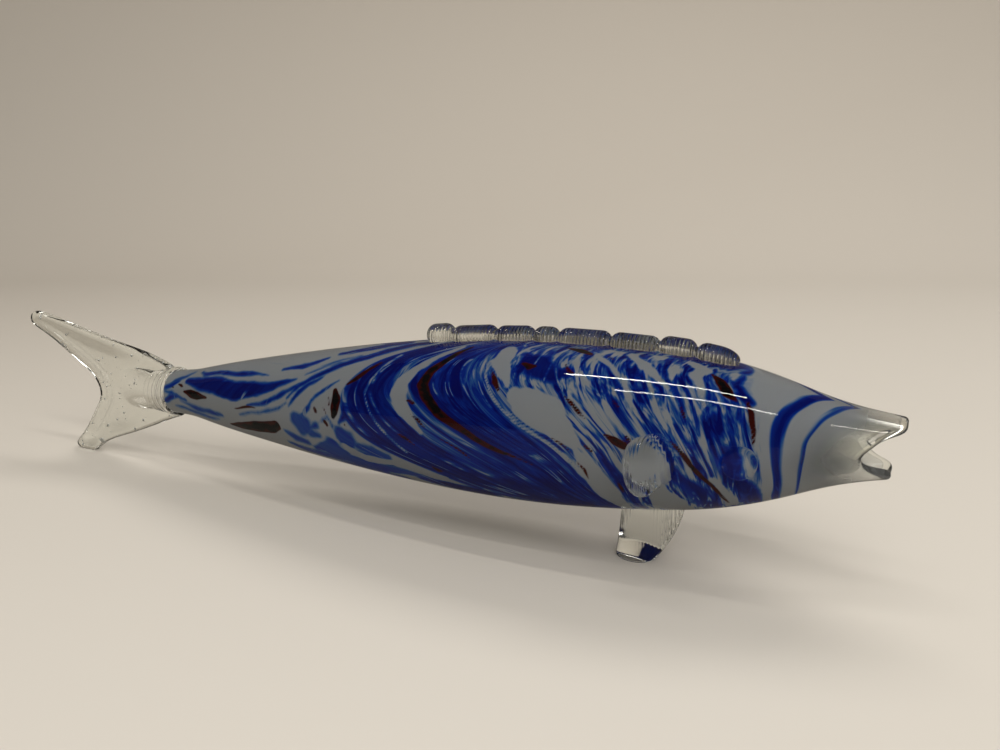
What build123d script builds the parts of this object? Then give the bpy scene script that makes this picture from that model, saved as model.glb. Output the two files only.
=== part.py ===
from build123d import *
import math
import os

# A hand-blown art-glass fish that rests on its belly foot and on the lower lobe of its tail.
# Lengths are in millimetres and angles in degrees. X runs from the tail to the head, Y to the
# fish's left, and Z up from the surface that it stands on.
# Pieces on the body are drawn along the blown axis, which is X from the closed tail end, and are
# then set at the fish's pitch. The tail and the foot are drawn upright on the floor.

# Blown body
body_length = 443.8  # closed tail end to the tip of the lips
body_radius = 43.8  # at the widest place
body_pitch = 3.25  # the head is carried higher than the tail
body_rear_height = 52.2  # floor to the closed tail end
casing_thickness = 2.4  # clear glass over the colour
core_thickness = 2.0  # opal glass bubble inside it
closed_end_radius = 14.1
closed_end_round = 8.0  # its pole is flat, with a round shoulder
core_setback = 29.8  # tip of the lips back to the end of the opal glass
throat_radius = 10.8  # axis to the middle of the sheared rim
lip_curl = 35.0  # the rim curls in by this angle

# The body's outline from the tail on: shares of body_length and of body_radius
body_shares = [
    (0.0900, 0.420),
    (0.1800, 0.577),
    (0.3160, 0.777),
    (0.4510, 0.928),
    (0.6080, 1.000),
    (0.7210, 0.947),
    (0.8110, 0.832),
    (0.8790, 0.640),
    (0.9350, 0.440),
    (0.9690, 0.366),
]

# Mouth: a wedge sheared out through both cheeks
gape_depth = 20.7  # upper lip's tip back to the corner of the mouth
gape_height = 14.4  # between the lips at the front

# The wedge's edges from the corner on: shares of gape_depth, and of gape_height from the axis up
gape_corner_share = (0.0, -0.056)
gape_upper_shares = [(0.227, 0.097), (0.473, 0.486), (0.657, 0.597), (0.971, 0.736)]
gape_lower_shares = [(0.155, -0.440), (0.333, -0.646), (0.536, -0.771)]
chin_shares = [(0.667, -0.875), (0.604, -1.014), (0.357, -1.215)]

# Clear collar between the body and the tail, ringed by the jacks
collar_length = 20.5
collar_front = 7.0  # it laps over the body by this much
collar_rear_radius = 12.6
collar_front_radius = 15.3
collar_ring_count = 4
collar_ring_depth = 0.7
collar_rear_round = 2.2

# Forked tail
tail_length = 129.5  # front of its root to the tip of the upper lobe
tail_height = 96.2
tail_overlap = 4.5  # its root reaches this far ahead of the body's closed end
tail_thickness = 7.0
tail_edge_round = 2.5
tail_tip_radius = 5.4  # rounded end of the upper lobe
tail_tip_lean = 8.0
tail_tip_leave = 30.0  # the fork's edge leaves the rounded end at this angle
tail_toe_length = 11.0  # flat of the lower lobe, on the floor
tail_root_radius = 11.8  # inside the collar, where it starts
tail_root_length = 36.0  # the thick root flattens into the fork over this length
tail_root_height = 36.0  # where it has flattened
tail_root_sink = 0.8  # its flattened end lies this far inside the fork's faces

# The root's sections: shares of tail_root_length back from the collar, and of the way to its flattened end
tail_root_shares = [(-0.16, 0.0), (0.33, 0.45), (1.0, 1.0)]

# The tail's edges: shares of tail_length back from the root, and of tail_height
tail_top_shares = [(0.005, 0.681), (0.140, 0.774), (0.349, 0.833), (0.687, 0.929), (0.860, 0.980)]
tail_tip_share = (0.958, 0.944)
tail_fork_shares = [
    (0.878, 0.831),
    (0.750, 0.733),
    (0.638, 0.642),
    (0.550, 0.546),
    (0.528, 0.454),
    (0.568, 0.348),
    (0.642, 0.212),
    (0.722, 0.094),
    (0.753, 0.036),
]
tail_toe_share = (0.714, 0.0)
tail_belly_shares = [(0.592, 0.027), (0.542, 0.074), (0.382, 0.162), (0.152, 0.281), (0.0, 0.362)]
tail_belly_rise_share = 0.35

# Trail of glass along the back, crimped into lobes
crest_start_share = 0.449  # of body_length
crest_length_share = 0.380  # of body_length
crest_radius = 6.3  # half the trail's width
crest_height = 7.6  # above the body
crest_round = 5.2  # shoulders of each lobe
crest_lap = 0.7  # neighbouring lobes run into each other by this much
crest_nose_length = 11.0  # the front lobe slopes down over this length

# The lobes from the rear: shares of crest_length and of crest_height
crest_lobe_shares = [
    (0.093, 1.20),
    (0.155, 0.98),
    (0.128, 0.90),
    (0.082, 0.87),
    (0.165, 0.85),
    (0.149, 0.83),
    (0.107, 0.96),
    (0.121, 0.92),
]

# Belly foot, pressed flat on the floor
foot_place_share = 0.7177  # body's closed end to the middle of the flat disc, of body_length
foot_radius = 10.6
foot_edge_round = 1.4
foot_middle_height = 12.0
foot_middle_length = 27.6
foot_middle_width = 18.0
foot_middle_advance = 4.6  # its middle leans this far ahead of the disc
foot_top_length = 34.5
foot_top_width = 17.0
foot_top_advance = 8.4

# Pectoral fins, drawn out of the sides, back and down, as rounded paddles
fin_place_share = 0.7616  # of body_length
fin_drop = 3.2  # middle of the root, below the axis
fin_reach = 18.2  # skin to the paddle's end
fin_height = 28.0
fin_width = 17.0
fin_sweep_back = 21.0
fin_sweep_down = 2.0

# The paddle's sections: shares of fin_reach, of fin_height and of fin_width
fin_section_shares = [
    (-0.42, 0.92, 0.86),
    (0.00, 0.94, 0.90),
    (0.45, 1.00, 1.00),
    (0.80, 0.94, 0.92),
    (0.96, 0.70, 0.62),
    (1.00, 0.40, 0.30),
]

# Eyes: clear discs pressed on the sides of the head
eye_place_share = 0.8438  # of body_length
eye_drop = 3.2
eye_radius = 8.0
eye_thickness = 2.8
eye_edge_round = 1.8

# Every applied bit is drawn this far into the body, which is then cut out of it
root_depth = 12.0
cut_overrun = 20.0
bisection_steps = 48

wall_thickness = casing_thickness + core_thickness
rim_radius = wall_thickness / 2
core_reach = body_length - core_setback
crest_start = crest_start_share * body_length
crest_length = crest_length_share * body_length
foot_place = foot_place_share * body_length
fin_place = fin_place_share * body_length
eye_place = eye_place_share * body_length
stance = Pos(0, 0, body_rear_height) * Rotation(0, -body_pitch, 0)


def bearing(angle):
    """Unit vector at an angle from X towards Y."""
    return Vector(math.cos(math.radians(angle)), math.sin(math.radians(angle)))


def upright(face):
    """Turns a face drawn on X and Y up into X and Z."""
    return Rotation(90, 0, 0) * face


def rim_centre():
    return Vector(body_length - rim_radius, throat_radius)


def profile(inset):
    """Half outline of the body, a given depth inside the skin: its flattened closed end, its side."""
    corner = Vector(closed_end_round, closed_end_radius - closed_end_round)
    turn = [corner + bearing(angle) * (closed_end_round - inset) for angle in (180, 135, 90)]
    closed_end = Line((inset, 0), turn[0]) + ThreePointArc(*turn)
    stations = [
        (share * body_length, radius_share * body_radius - inset)
        for share, radius_share in body_shares
    ]
    rim = rim_centre() + bearing(90 - lip_curl) * (rim_radius - inset)
    side = Spline(turn[-1], *stations, rim, tangents=[(1, 0), bearing(-lip_curl)])
    return closed_end, side


skin_side = profile(0)[1]


def skin_radius(place):
    """Radius of the skin at a place along the axis, found by halving."""
    low, high = 0, 1
    for _ in range(bisection_steps):
        middle = (low + high) / 2
        if (skin_side @ middle).X < place:
            low = middle
        else:
            high = middle
    return (skin_side @ low).Y


def skin_slope(place):
    """Rise of the skin's radius along the axis."""
    return (skin_radius(place + casing_thickness) - skin_radius(place)) / casing_thickness


def side_plane(place, drop, side):
    """Plane on the skin, drop below the axis. side is -1 for the right and 1 for the left."""
    radius = skin_radius(place)
    below = math.asin(drop / radius)
    outward = Vector(0, side * math.cos(below), -math.sin(below))
    return Plane(
        origin=Vector(place, 0, 0) + outward * radius,
        x_dir=(1, 0, skin_slope(place)),
        z_dir=outward - Vector(skin_slope(place), 0, 0),
    )


def filled_body(inset):
    """Solid of the body within an inset outline."""
    closed_end, side = profile(inset)
    front = side @ 1
    closing = Polyline(front, (front.X, 0), (inset, 0))
    return revolve(make_face(closed_end + side + closing), Axis.X)


def blown_wall():
    """The whole wall of the bubble, with the sheared rim rounded by the flame."""
    outer_end, outer_side = profile(0)
    inner_end, inner_side = profile(wall_thickness)
    tip = rim_centre() + bearing(-lip_curl) * rim_radius
    rim = ThreePointArc(outer_side @ 1, tip, inner_side @ 1)
    pole = Line((wall_thickness, 0), (0, 0))
    return revolve(make_face(outer_end + outer_side + rim + inner_side + inner_end + pole), Axis.X)


def gape():
    """Block that the shears take out between the lips and in front of the shorter lower lip."""

    def point(share):
        return Vector(body_length + (share[0] - 1) * gape_depth, share[1] * gape_height)

    corner = point(gape_corner_share)
    upper_points = [point(share) for share in gape_upper_shares]
    clear = body_length + cut_overrun
    upper = Spline(corner, *upper_points, (clear, upper_points[-1].Y))
    lower = Spline(corner, *[point(share) for share in gape_lower_shares])
    chin = Spline(lower @ 1, *[point(share) for share in chin_shares], tangents=[lower % 1, (-1, -1)])
    low = chin @ 1
    ahead = Polyline(low, (low.X, -body_radius), (clear, -body_radius), upper @ 1)
    return extrude(upright(make_face(upper + lower + chin + ahead)), body_radius, both=True)


def coloured_bubble():
    """Solid within the skin's clear layer, up to the end of the opal glass."""
    reach = Box(core_reach, 2 * body_radius, 2 * body_radius, align=(Align.MIN, Align.CENTER, Align.CENTER))
    return filled_body(casing_thickness) & reach


def collar_blank():
    """Collar before the body is cut out of it: each jack ring is an arc on a gentle cone."""
    rear = collar_front - collar_length
    rings_length = collar_length - collar_rear_round
    step = Vector(rings_length, collar_front_radius - collar_rear_radius) / collar_ring_count
    turn = Vector(rear, collar_rear_radius - collar_rear_round)
    start = Vector(rear + collar_rear_round, collar_rear_radius)
    outline = Line((rear, 0), turn) + RadiusArc(turn, start, collar_rear_round)
    for ring in range(collar_ring_count):
        begin, end = start + step * ring, start + step * (ring + 1)
        outline += ThreePointArc(begin, (begin + end) / 2 + Vector(0, collar_ring_depth), end)
    outline += Polyline(end, (collar_front, 0), (rear, 0))
    return revolve(make_face(outline), Axis.X)


def tail_point(share):
    return Vector(tail_overlap - share[0] * tail_length, share[1] * tail_height)


def tail_outline():
    """Side view of the fork."""
    tip = tail_point(tail_tip_share)
    tip_top = tip + bearing(90 - tail_tip_lean) * tail_tip_radius
    tip_rear = tip + bearing(180) * tail_tip_radius
    tip_low = tip + bearing(270 - tail_tip_leave) * tail_tip_radius
    top = Spline(
        *[tail_point(share) for share in tail_top_shares],
        tip_top,
        tangents=[(-1, 1), bearing(180 - tail_tip_lean)],
    )
    tip_round = ThreePointArc(tip_top, tip_rear, tip_low)
    toe_rear = tail_point(tail_toe_share)
    toe_front = toe_rear + Vector(tail_toe_length, 0)
    fork = Spline(
        tip_low,
        *[tail_point(share) for share in tail_fork_shares],
        toe_rear,
        tangents=[bearing(-tail_tip_leave), (1, 0)],
    )
    belly = Spline(
        toe_front,
        *[tail_point(share) for share in tail_belly_shares],
        tangents=[(1, 0), (1, tail_belly_rise_share)],
    )
    outline = top + tip_round + fork + Line(toe_rear, toe_front) + belly + Line(belly @ 1, top @ 0)
    return make_face(outline)


def tail_root():
    """Thick root behind the collar, round at the front and flat where it joins the fork."""
    rear = collar_front - collar_length
    axis_height = body_rear_height + rear * math.sin(math.radians(body_pitch))
    flat_width = tail_thickness / 2 - tail_root_sink
    sections = []
    for place_share, flat_share in tail_root_shares:
        width = tail_root_radius + flat_share * (flat_width - tail_root_radius)
        height = tail_root_radius + flat_share * (tail_root_height / 2 - tail_root_radius)
        centre = Vector(rear - place_share * tail_root_length, 0, axis_height)
        sections.append(Plane(origin=centre, x_dir=(0, 1, 0), z_dir=(-1, 0, 0)) * Ellipse(width, height))
    return loft(sections)


def tail_fin(skin, collar):
    """Fork pressed flat between paddles, with rounded edges, and its thick root."""
    fork = extrude(upright(tail_outline()), tail_thickness / 2, both=True)
    rims = fork.faces().filter_by(Axis.Y).edges()
    fork = fillet(rims, tail_edge_round)
    return fork + tail_root() - stance * skin - stance * collar


def crest_lobe(rear, front, height, nose):
    """One crimped lobe: a round loaf that follows the back's slope, with rounded ends.

    Its seam lies underneath, inside the body.
    """
    rise = skin_radius(front) - skin_radius(rear)
    centre_height = (skin_radius(front) + skin_radius(rear)) / 2 + height - crest_radius
    half = (front - rear + crest_lap) / 2
    pole = crest_radius - crest_round
    front_arc = EllipticalCenterArc((half - nose, pole), nose, crest_round)
    rear_arc = RadiusArc((crest_round - half, crest_radius), (-half, pole), -crest_round)
    outline = Polyline((-half, pole), (-half, 0), (half, 0), front_arc @ 0)
    outline += front_arc + Line(front_arc @ 1, rear_arc @ 0) + rear_arc
    lobe = revolve(make_face(outline), Axis.X)
    lean = math.degrees(math.atan2(rise, front - rear))
    return Pos((rear + front) / 2, 0, centre_height) * Rotation(0, -lean, 0) * Rotation(-90, 0, 0) * lobe


def crest_lobes():
    """The lobes of the crimped trail from the rear, the front one with a long nose."""
    lobes = []
    rear = crest_start
    for number, (length_share, height_share) in enumerate(crest_lobe_shares, start=1):
        front = rear + length_share * crest_length
        nose = crest_nose_length if number == len(crest_lobe_shares) else crest_round
        lobes.append(crest_lobe(rear, front, height_share * crest_height, nose))
        rear = front
    return lobes


def belly_foot(skin):
    """Bit drawn down from the belly: round on the floor, and longer and leaning ahead above it."""
    top_height = (
        body_rear_height
        + foot_place * math.sin(math.radians(body_pitch))
        - skin_radius(foot_place)
        + root_depth
    )
    sections = [
        Pos(foot_place, 0, 0) * Circle(foot_radius),
        Pos(foot_place + foot_middle_advance, 0, foot_middle_height)
        * Ellipse(foot_middle_length / 2, foot_middle_width / 2),
        Pos(foot_place + foot_top_advance, 0, top_height)
        * Ellipse(foot_top_length / 2, foot_top_width / 2),
    ]
    foot = loft(sections)
    foot = fillet(foot.faces().sort_by(Axis.Z)[0].edges(), foot_edge_round)
    return foot - stance * skin


def pectoral_fin(skin, side):
    """Rounded paddle, lofted through its sections along the way that it was drawn out."""
    root = side_plane(fin_place, fin_drop, side).origin
    back, down = math.radians(fin_sweep_back), math.radians(fin_sweep_down)
    out = Vector(
        -math.sin(back) * math.cos(down), side * math.cos(back) * math.cos(down), -math.sin(down)
    )
    across = out.cross(Vector(0, 0, 1))
    sections = [
        Plane(origin=root + out * (reach_share * fin_reach), x_dir=across, z_dir=out)
        * Ellipse(width_share * fin_width / 2, height_share * fin_height / 2)
        for reach_share, height_share, width_share in fin_section_shares
    ]
    return loft(sections) - skin


def eye(skin, side):
    """Clear disc pressed flat, with a rounded rim."""
    disc = Cylinder(
        eye_radius,
        root_depth + eye_thickness,
        align=(Align.CENTER, Align.CENTER, Align.MAX),
    )
    disc = fillet(disc.faces().sort_by(Axis.Z)[-1].edges(), eye_edge_round)
    return side_plane(eye_place, eye_drop, side) * Pos(0, 0, eye_thickness) * disc - skin


def fish():
    """Every piece by name, with the floor under it and the middle of its length at X 0."""
    skin, bore, colour = filled_body(0), filled_body(wall_thickness), coloured_bubble()
    collar, lobes = collar_blank(), crest_lobes()
    pieces = {
        "clear_casing": stance * (blown_wall() - colour - gape()),
        "opal_core": stance * (colour - bore),
        "tail_collar": stance * (collar - skin),
        "tail_fin": tail_fin(skin, collar),
        "dorsal_fin": stance * (lobes[0] + lobes[1:] - skin),
        "belly_foot": belly_foot(skin),
    }
    for name, side in (("right", -1), ("left", 1)):
        pieces[f"{name}_pectoral_fin"] = stance * pectoral_fin(skin, side)
        pieces[f"{name}_eye"] = stance * eye(skin, side)
    boxes = [piece.bounding_box() for piece in pieces.values()]
    rear, front = min(box.min.X for box in boxes), max(box.max.X for box in boxes)
    centring = Pos(-(rear + front) / 2, 0, 0)
    return {name: centring * piece for name, piece in pieces.items()}


os.makedirs("parts", exist_ok=True)
for name, piece in fish().items():
    export_step(piece, f"parts/{name}.step")
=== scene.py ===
"""A hand-blown glass fish on a pale studio sweep, dressed over its CAD frame."""

from __future__ import annotations

import logging
import math
from dataclasses import dataclass
from enum import Enum
from typing import Any

import bpy
import numpy as np
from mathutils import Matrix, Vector
from mathutils.bvhtree import BVHTree

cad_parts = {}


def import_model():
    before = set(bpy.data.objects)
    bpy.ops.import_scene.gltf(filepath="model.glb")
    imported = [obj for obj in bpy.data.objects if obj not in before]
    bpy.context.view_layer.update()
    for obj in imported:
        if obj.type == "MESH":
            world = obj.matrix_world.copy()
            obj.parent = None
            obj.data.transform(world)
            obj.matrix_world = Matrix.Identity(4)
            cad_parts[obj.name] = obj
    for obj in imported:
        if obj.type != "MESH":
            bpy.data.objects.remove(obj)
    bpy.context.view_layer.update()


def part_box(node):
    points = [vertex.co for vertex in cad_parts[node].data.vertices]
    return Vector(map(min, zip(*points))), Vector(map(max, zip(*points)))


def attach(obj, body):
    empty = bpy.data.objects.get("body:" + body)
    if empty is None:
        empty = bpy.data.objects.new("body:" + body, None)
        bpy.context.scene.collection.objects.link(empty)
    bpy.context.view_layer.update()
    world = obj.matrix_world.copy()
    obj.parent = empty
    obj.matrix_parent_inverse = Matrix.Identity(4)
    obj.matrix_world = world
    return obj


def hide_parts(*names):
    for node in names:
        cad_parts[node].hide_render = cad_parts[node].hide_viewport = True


LOG = logging.getLogger("glass_fish")

# Lengths in this file are in millimetres until they go into a mesh
MM = 0.001

# Each point of a mark has its station, its turn in degrees up the side, and half the mark's width
Line = tuple[tuple[float, float, float], ...]


class Side(Enum):
    """Side of the fish, as the CAD names it."""

    RIGHT = "right"
    LEFT = "left"


class Ink(Enum):
    """Colour of a mark that is melted into the bubble."""

    OPAL = "opal"
    COBALT = "cobalt"
    STEEL = "steel"
    OXBLOOD = "oxblood"


def linear(colour: str) -> tuple[float, float, float, float]:
    """Turn an sRGB hex colour to linear.

    Args:
        colour: Six hex digits with a leading hash.

    Returns:
        Linear red, green and blue, and an alpha of 1.
    """
    parts = [int(colour[i : i + 2], 16) / 255 for i in (1, 3, 5)]
    red, green, blue = [
        part / 12.92 if part <= 0.04045 else ((part + 0.055) / 1.055) ** 2.4 for part in parts
    ]
    return red, green, blue, 1.0


def add_node(
    tree: bpy.types.NodeTree, kind: str, settings: dict[str, Any], inputs: dict[Any, Any]
) -> bpy.types.Node:
    """Add a node, set its properties and fill its inputs.

    Args:
        tree: Node tree that takes the node.
        kind: Type name of the node.
        settings: Property names and their values.
        inputs: Input names or numbers. Each has a value, the output that feeds it, or a node
            whose first output in use feeds it.

    Returns:
        The new node.
    """
    node = tree.nodes.new(kind)
    for name, value in settings.items():
        setattr(node, name, value)
    for name, value in inputs.items():
        if isinstance(value, bpy.types.Node):
            value = next(output for output in value.outputs if output.enabled)
        if isinstance(value, bpy.types.NodeSocket):
            tree.links.new(value, node.inputs[name])
        else:
            node.inputs[name].default_value = value
    return node


# What the sums in the materials do. HELD ones stop at 0 and 1
MINUS = {"operation": "SUBTRACT"}
TIMES = {"operation": "MULTIPLY"}
TIMES_PLUS = {"operation": "MULTIPLY_ADD"}
HELD = {"use_clamp": True}


def select_only(piece: bpy.types.Object) -> None:
    """Deselect everything, then select one object and make it active.

    Args:
        piece: The object.
    """
    bpy.ops.object.select_all(action="DESELECT")
    piece.select_set(True)
    bpy.context.view_layer.objects.active = piece


def edit_all(piece: bpy.types.Object) -> None:
    """Open a mesh in edit mode with everything in it selected.

    Args:
        piece: The mesh.
    """
    select_only(piece)
    bpy.ops.object.mode_set(mode="EDIT")
    bpy.ops.mesh.select_all(action="SELECT")


def points_of(piece: bpy.types.Object) -> np.ndarray:
    """Read a mesh's vertices in millimetres.

    Args:
        piece: The mesh.

    Returns:
        Rows of X, Y and Z.
    """
    flat = np.empty(len(piece.data.vertices) * 3)
    piece.data.vertices.foreach_get("co", flat)
    return flat.reshape(-1, 3) / MM


def set_points(piece: bpy.types.Object, points: np.ndarray) -> None:
    """Write a mesh's vertices from rows in millimetres."""
    piece.data.vertices.foreach_set("co", (points * MM).ravel())
    piece.data.update()


def add_modifier(piece: bpy.types.Object, kind: str, **settings: Any) -> None:
    """Add a modifier with its settings, and apply it.

    Args:
        piece: Mesh that takes the modifier.
        kind: Type name of the modifier.
        settings: Property names and their values.
    """
    select_only(piece)
    bpy.ops.object.modifier_add(type=kind)
    modifier = piece.modifiers[-1]
    for name, value in settings.items():
        setattr(modifier, name, value)
    bpy.ops.object.modifier_apply(modifier=modifier.name)


def finish_piece(piece: bpy.types.Object, slot: str, material: bpy.types.Material, *nodes: str) -> None:
    """Shade a piece smooth, dress it and stand it in for its CAD nodes.

    Args:
        piece: Finished mesh.
        slot: Material slot of the record. It is not used.
        material: Finish of the whole piece.
        nodes: CAD nodes that the piece replaces.
    """
    select_only(piece)
    bpy.ops.object.shade_smooth()
    piece.data.materials.clear()
    piece.data.materials.append(material)
    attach(piece, "root")
    if nodes:
        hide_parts(*nodes)
    LOG.info("%s: %d faces", piece.name, len(piece.data.polygons))


def cubic_through(places: np.ndarray, values: np.ndarray) -> tuple[np.ndarray, np.ndarray, np.ndarray]:
    """Fit a natural cubic spline.

    Args:
        places: Rising places of the knots.
        values: Value at each knot.

    Returns:
        The places, the values and the second derivatives at the knots.
    """
    count = len(places)
    gaps = np.diff(places)
    matrix = np.eye(count)
    right = np.zeros(count)
    for i in range(1, count - 1):
        matrix[i, i - 1 : i + 2] = gaps[i - 1], 2 * (gaps[i - 1] + gaps[i]), gaps[i]
        right[i] = 6 * ((values[i + 1] - values[i]) / gaps[i] - (values[i] - values[i - 1]) / gaps[i - 1])
    return places, values, np.linalg.solve(matrix, right)


def cubic_at(spline: tuple[np.ndarray, np.ndarray, np.ndarray], at: np.ndarray) -> np.ndarray:
    """Evaluate a natural cubic spline.

    Args:
        spline: Result of cubic_through.
        at: Places to evaluate.

    Returns:
        The spline's value at each place.
    """
    places, values, bends = spline
    i = np.clip(np.searchsorted(places, at) - 1, 0, len(places) - 2)
    gap = places[i + 1] - places[i]
    after, before = (places[i + 1] - at) / gap, (at - places[i]) / gap
    bow = ((after**3 - after) * bends[i] + (before**3 - before) * bends[i + 1]) * gap**2 / 6
    return after * values[i] + before * values[i + 1] + bow


def lattice_noise(points: np.ndarray, size: float, seed: int, count: int = 48) -> np.ndarray:
    """Sample smooth value noise.

    Args:
        points: Rows of three coordinates.
        size: Length of a lattice cell, in the same unit.
        seed: Seed of the lattice.
        count: Cells of the lattice on each axis, before it repeats.

    Returns:
        A value between -0.5 and 0.5 for each row.
    """
    lattice = np.random.default_rng(seed).random((count, count, count)) - 0.5
    cell = np.floor(points / size).astype(int)
    share = points / size - cell
    share = share * share * (3 - 2 * share)
    total = np.zeros(len(points))
    for corner in np.ndindex(2, 2, 2):
        weight = np.prod([share[:, i] if corner[i] else 1 - share[:, i] for i in range(3)], axis=0)
        x, y, z = ((cell[:, i] + corner[i]) % count for i in range(3))
        total += weight * lattice[x, y, z]
    return total


def melt_seams(pieces: list[bpy.types.Object]) -> None:
    """Mark the faces of clear pieces that lie inside another, where the hot glass has fused.

    Args:
        pieces: Closed meshes of clear glass. Each gets a "fused" attribute, 1 inside another piece.
    """
    graph = bpy.context.evaluated_depsgraph_get()
    trees = [BVHTree.FromObject(piece, graph) for piece in pieces]
    boxes = [(points_of(piece).min(0), points_of(piece).max(0)) for piece in pieces]
    for piece in pieces:
        points = points_of(piece)
        fused = np.zeros(len(points))
        for other, tree, (low, high) in zip(pieces, trees, boxes):
            if other is piece:
                continue
            near = np.all((points > low) & (points < high), axis=1) & (fused == 0)
            for i in np.flatnonzero(near):
                point = Vector(points[i] * MM)
                place, normal, _, _ = tree.find_nearest(point)
                fused[i] = float((point - place).dot(normal) < 0)
        layer = piece.data.attributes.new("fused", "FLOAT", "POINT")
        layer.data.foreach_set("value", fused)


def skin_rings(name: str, rings: list[np.ndarray]) -> bpy.types.Object:
    """Make a closed mesh from rings.

    Args:
        name: Name of the piece.
        rings: Rings of points, the first and the last shrunk to a pole.

    Returns:
        The mesh, with its seam and poles merged.
    """
    bpy.ops.object.select_all(action="DESELECT")
    sides = len(rings[0]) - 1
    bpy.ops.mesh.primitive_grid_add(x_subdivisions=sides, y_subdivisions=len(rings) - 1, size=1)
    piece = bpy.context.active_object
    piece.name = name
    set_points(piece, np.concatenate(rings))
    edit_all(piece)
    bpy.ops.mesh.remove_doubles(threshold=0.002 * MM)
    bpy.ops.mesh.normals_make_consistent(inside=False)
    bpy.ops.object.mode_set(mode="OBJECT")
    return piece


@dataclass
class BlownAxis:
    """Axis that the bubble was blown on, and the outline of its skin, measured on the frame."""

    pitch: float = 3.25
    closed_end_height: float = 52.2
    closed_end_radius: float = 14.1
    closed_end_round: float = 8.0
    wall: float = 4.4
    casing: float = 2.4
    length: float = 443.8
    shear_start: float = 418.0
    # The skin is found by rays cast in from this far out, this many round each cut
    reach: float = 80.0
    casts: int = 48
    # A cut's radius is this percentile of the radii where its rays meet the casing
    percentile: float = 80.0
    cut_step: float = 2.0
    # The cuts and the knots stop this far from the open end
    cut_margin: float = 3.0
    knot_margin: float = 4.0
    knots: int = 28
    fit_reach: float = 20.0
    # The skin's slope is taken over this length to either side
    probe: float = 0.5
    # A ray that ends this near the skin has met the wall, and the rim is found by halving
    near_skin: float = 1.1
    halvings: int = 12

    def __post_init__(self) -> None:
        """Set the axis in the frame and measure the outline of the casing."""
        turn = math.radians(self.pitch)
        self.along = np.array([math.cos(turn), 0, math.sin(turn)])
        self.up = np.array([-math.sin(turn), 0, math.cos(turn)])
        flat = self.closed_end_radius - self.closed_end_round
        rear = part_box("clear_casing")[0].x / MM + flat * math.sin(turn)
        self.start = np.array([rear, 0, self.closed_end_height])
        casing = bpy.data.objects["clear_casing"]
        self.tree = BVHTree.FromObject(casing, bpy.context.evaluated_depsgraph_get())
        self.outline = self.measure()

    def split(self, points: np.ndarray) -> tuple[np.ndarray, np.ndarray, np.ndarray]:
        """Express points on the axis.

        Args:
            points: Rows of X, Y and Z.

        Returns:
            Station along the axis, height over it, and Y.
        """
        away = points - self.start
        return away @ self.along, away @ self.up, points[:, 1]

    def place(self, station: np.ndarray, height: np.ndarray, side: np.ndarray) -> np.ndarray:
        """Lay out points on the axis.

        Args:
            station: Stations along the axis.
            height: Heights over it.
            side: Y of each point.

        Returns:
            Rows of X, Y and Z.
        """
        points = self.start + np.outer(station, self.along) + np.outer(height, self.up)
        points[:, 1] = side
        return points

    def ring(self, station: Any, radius: Any, sides: int) -> np.ndarray:
        """Lay points round the axis.

        Args:
            station: Station of the ring, or of each of its points.
            radius: Radius of the ring, or of each of its points.
            sides: Sides of the ring, whose first point is repeated at its end.

        Returns:
            The points, from the top and back.
        """
        turns = np.linspace(0, math.tau, sides + 1)
        return self.place(station + 0 * turns, radius * np.cos(turns), radius * np.sin(turns))

    def measure(self) -> tuple[np.ndarray, np.ndarray, np.ndarray]:
        """Fit the skin's radius by casting rays in at the casing, ring by ring.

        Returns:
            Spline of radius over station.
        """
        first, last = self.closed_end_round + self.probe, self.length - self.cut_margin
        cuts = np.arange(first, last, self.cut_step)
        turns = np.linspace(0, math.tau, self.casts, endpoint=False)
        radii = np.empty(len(cuts))
        for i, cut in enumerate(cuts):
            found = [self.cast(cut, turn) for turn in turns]
            # A ray through the open mouth meets nothing and is left out
            met = [out for out in found if out > max(found) - self.casing]
            radii[i] = np.percentile(met, self.percentile)
        knots = np.linspace(self.closed_end_round, self.length - self.knot_margin, self.knots)
        smooth = [self.closed_end_radius]
        for knot in knots[1:]:
            near = np.abs(cuts - knot) < self.fit_reach
            smooth.append(np.polyval(np.polyfit(cuts[near] - knot, radii[near], 3), 0))
        return cubic_through(knots, np.array(smooth))

    def cast(self, station: float, turn: float) -> float:
        """Cast a ray at the axis and return how far out it meets the casing.

        Args:
            station: Station along the axis.
            turn: Turn from the top of the body, in radians.

        Returns:
            Radius of the hit, or 0 where the ray passes through the open mouth.
        """
        outward = Vector(self.up * math.cos(turn)) + Vector((0, math.sin(turn), 0))
        centre = Vector(self.start + self.along * station)
        hit = self.tree.ray_cast((centre + outward * self.reach) * MM, -outward, self.reach * MM)
        return 0.0 if hit[0] is None else self.reach - hit[3] / MM

    def skin(self, station: np.ndarray) -> np.ndarray:
        """Evaluate the outline of the skin, with its rounded closed end.

        Args:
            station: Stations along the axis.

        Returns:
            The skin's radius at each station.
        """
        round_part = self.closed_end_round - np.clip(station, 0, self.closed_end_round)
        rise = np.sqrt(np.maximum(self.closed_end_round**2 - round_part**2, 0))
        closed = self.closed_end_radius - self.closed_end_round + rise
        return np.where(station < self.closed_end_round, closed, cubic_at(self.outline, station))

    def under(self, station: np.ndarray, depth: float) -> tuple[np.ndarray, np.ndarray]:
        """Find the points that lie square under the skin.

        Args:
            station: Stations of points of the skin.
            depth: Depth under them.

        Returns:
            Station and radius of each point.
        """
        radius = self.skin(station)
        behind = np.maximum(station - self.probe, self.closed_end_round)
        slope = self.skin(station + self.probe) - self.skin(behind)
        length = np.hypot(slope, 1)
        return station + depth * slope / length, radius - depth / length

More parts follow.
